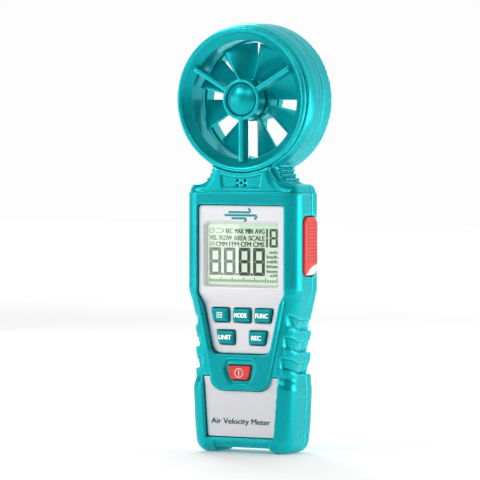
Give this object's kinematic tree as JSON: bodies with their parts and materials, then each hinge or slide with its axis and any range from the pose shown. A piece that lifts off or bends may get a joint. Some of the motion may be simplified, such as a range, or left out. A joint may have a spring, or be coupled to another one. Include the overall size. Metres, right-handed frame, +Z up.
{
  "type": "vane anemometer",
  "caption": "Handheld vane anemometer: a ducted bladed impeller in a round head above a bar-shaped case with a display, a keypad, side grips, foot ridges and a rear battery bay.",
  "frame": {"origin": "on the ground under the middle of the case, at the centre of the bounding box's base", "axes": "+Z up along the case towards the head, +Y towards the back along the duct's axis, +X to the reader's right, the display faces -Y"},
  "size_m": [0.0612, 0.024, 0.1718],
  "materials": {
    "teal_case": "satin moulded ABS",
    "key_teal": "fine matt moulded plastic",
    "silver_plate": "silver-grey painted plastic",
    "red_key": "satin moulded plastic",
    "clear_lens": "clear polycarbonate window",
    "display_cell": "liquid crystal cell with a grey-green polariser",
    "white_plastic": "light guide",
    "silicone": "moulded silicone",
    "board_green": "solder mask over glass laminate",
    "black_plastic": "moulded",
    "steel": "nickel plated",
    "brass": "turned",
    "cell_sleeve": "printed sleeve"
  },
  "bodies": {
    "case": {"backlight": "white_plastic", "battery_1": "cell_sleeve", "battery_2": "cell_sleeve", "battery_3": "cell_sleeve", "battery_contact_1": "steel", "battery_contact_2": "steel", "battery_contact_3": "steel", "battery_spring_1": "steel", "battery_spring_2": "steel", "battery_spring_3": "steel", "case_screw_1": "steel", "case_screw_2": "steel", "case_screw_3": "steel", "case_screw_4": "steel", "display_glass": "display_cell", "display_window": "clear_lens", "faceplate": "silver_plate", "front_bearing": "brass", "front_case": "teal_case", "front_guard": "teal_case", "hub_cap": "teal_case", "keypad_membrane": "silicone", "lower_faceplate": "silver_plate", "main_board": "board_green", "pickup_sensor": "black_plastic", "processor": "black_plastic", "rear_bearing": "brass", "rear_case": "teal_case", "rear_guard": "teal_case", "sensor_flex": "brass", "side_switch": "black_plastic", "sounder": "black_plastic", "zebra_strip": "silicone"},
    "impeller": {"impeller": "teal_case", "impeller_shaft": "steel", "impeller_magnet": "steel"},
    "battery_door": {"battery_door": "teal_case", "door_screw": "steel"},
    "hold_key": {"hold_key": "key_teal"},
    "mode_key": {"mode_key": "key_teal"},
    "function_key": {"function_key": "key_teal"},
    "unit_key": {"unit_key": "key_teal"},
    "record_key": {"record_key": "key_teal"},
    "power_key": {"power_key": "red_key"},
    "side_key": {"side_key": "red_key"}
  },
  "joints": [
    {"name": "impeller_spin", "type": "hinge", "parent": "case", "child": "impeller", "pos_m": [0, 0.0019, 0.1412], "axis": [0, 1, 0], "continuous": true},
    {"name": "hold_key_press", "type": "slide", "parent": "case", "child": "hold_key", "axis": [0, 1, 0], "range_m": [0, 0.0008], "stiffness_N_per_m": 1800},
    {"name": "mode_key_press", "type": "slide", "parent": "case", "child": "mode_key", "axis": [0, 1, 0], "range_m": [0, 0.0008], "stiffness_N_per_m": 1800},
    {"name": "function_key_press", "type": "slide", "parent": "case", "child": "function_key", "axis": [0, 1, 0], "range_m": [0, 0.0008], "stiffness_N_per_m": 1800},
    {"name": "unit_key_press", "type": "slide", "parent": "case", "child": "unit_key", "axis": [0, 1, 0], "range_m": [0, 0.0008], "stiffness_N_per_m": 1800},
    {"name": "record_key_press", "type": "slide", "parent": "case", "child": "record_key", "axis": [0, 1, 0], "range_m": [0, 0.0008], "stiffness_N_per_m": 1800},
    {"name": "power_key_press", "type": "slide", "parent": "case", "child": "power_key", "axis": [0, 1, 0], "range_m": [0, 0.0008], "stiffness_N_per_m": 1800},
    {"name": "side_key_press", "type": "slide", "parent": "case", "child": "side_key", "axis": [-1, 0, 0], "range_m": [0, 0.0008], "stiffness_N_per_m": 2000},
    {"name": "battery_door_lift", "type": "slide", "parent": "case", "child": "battery_door", "axis": [0, 1, 0], "range_m": [0, 0.03]}
  ]
}
